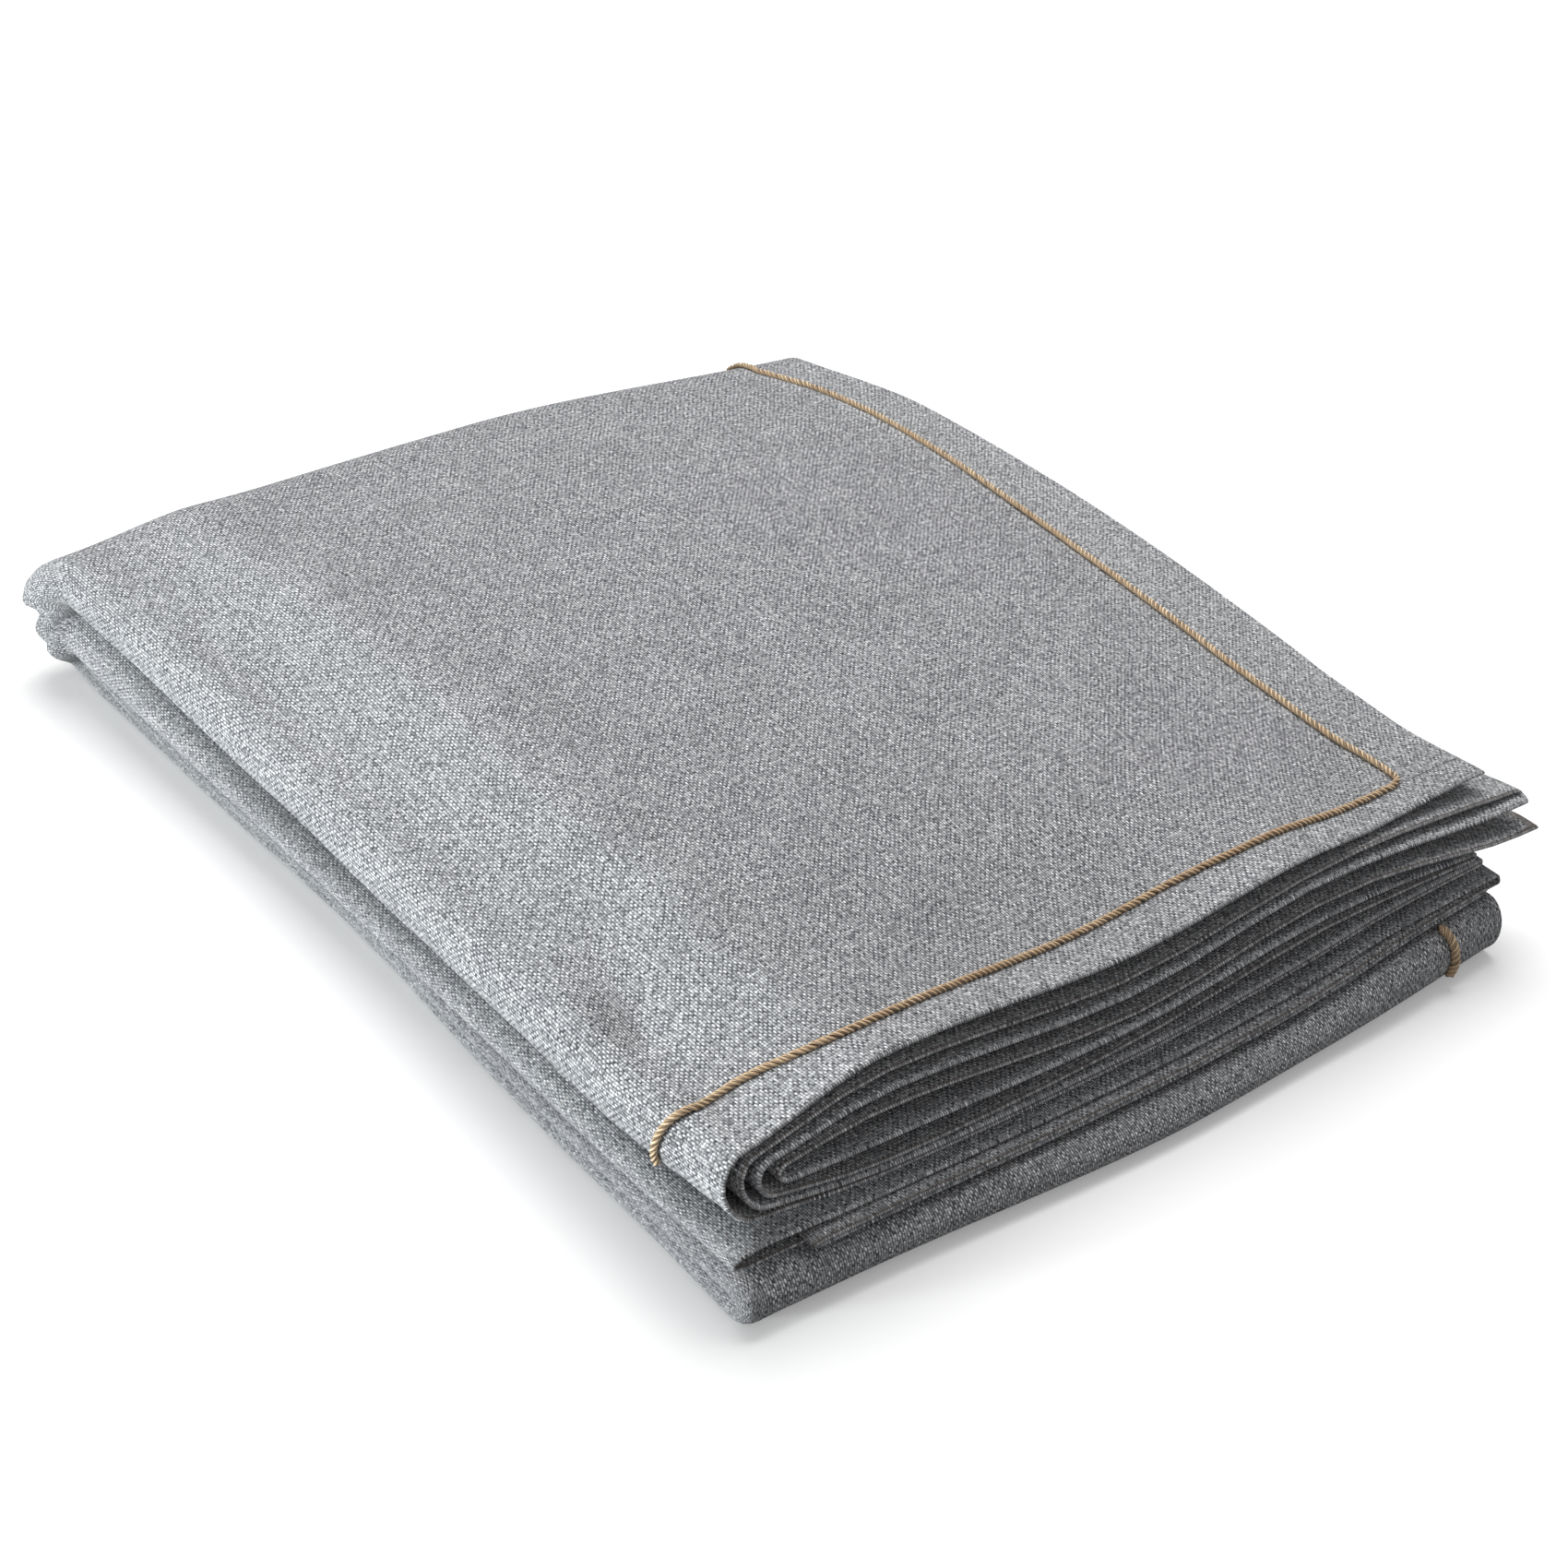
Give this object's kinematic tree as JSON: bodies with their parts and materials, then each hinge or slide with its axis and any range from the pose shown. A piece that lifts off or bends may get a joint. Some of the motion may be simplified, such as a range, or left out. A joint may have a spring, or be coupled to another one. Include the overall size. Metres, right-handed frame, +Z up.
{
  "type": "folded tablecloth",
  "caption": "Rectangular woven tablecloth folded into a flat layered stack, with hemmed edges and a twisted cord sewn just inside the hem.",
  "frame": {"origin": "on the surface the cloth lies on, under the middle of its outline", "axes": "+Z up; the folded bundles lie on each other along Z, the open near edge faces -Y and the folded side faces -X"},
  "size_m": [0.3288, 0.397, 0.0668],
  "materials": {
    "cloth": "matt plain weave in mixed grey threads",
    "cord": "matt twisted cord in tan"
  },
  "bodies": {
    "root": {"cloth": "cloth", "cord_top": "cord", "cord_band": "cord"}
  },
  "joints": []
}
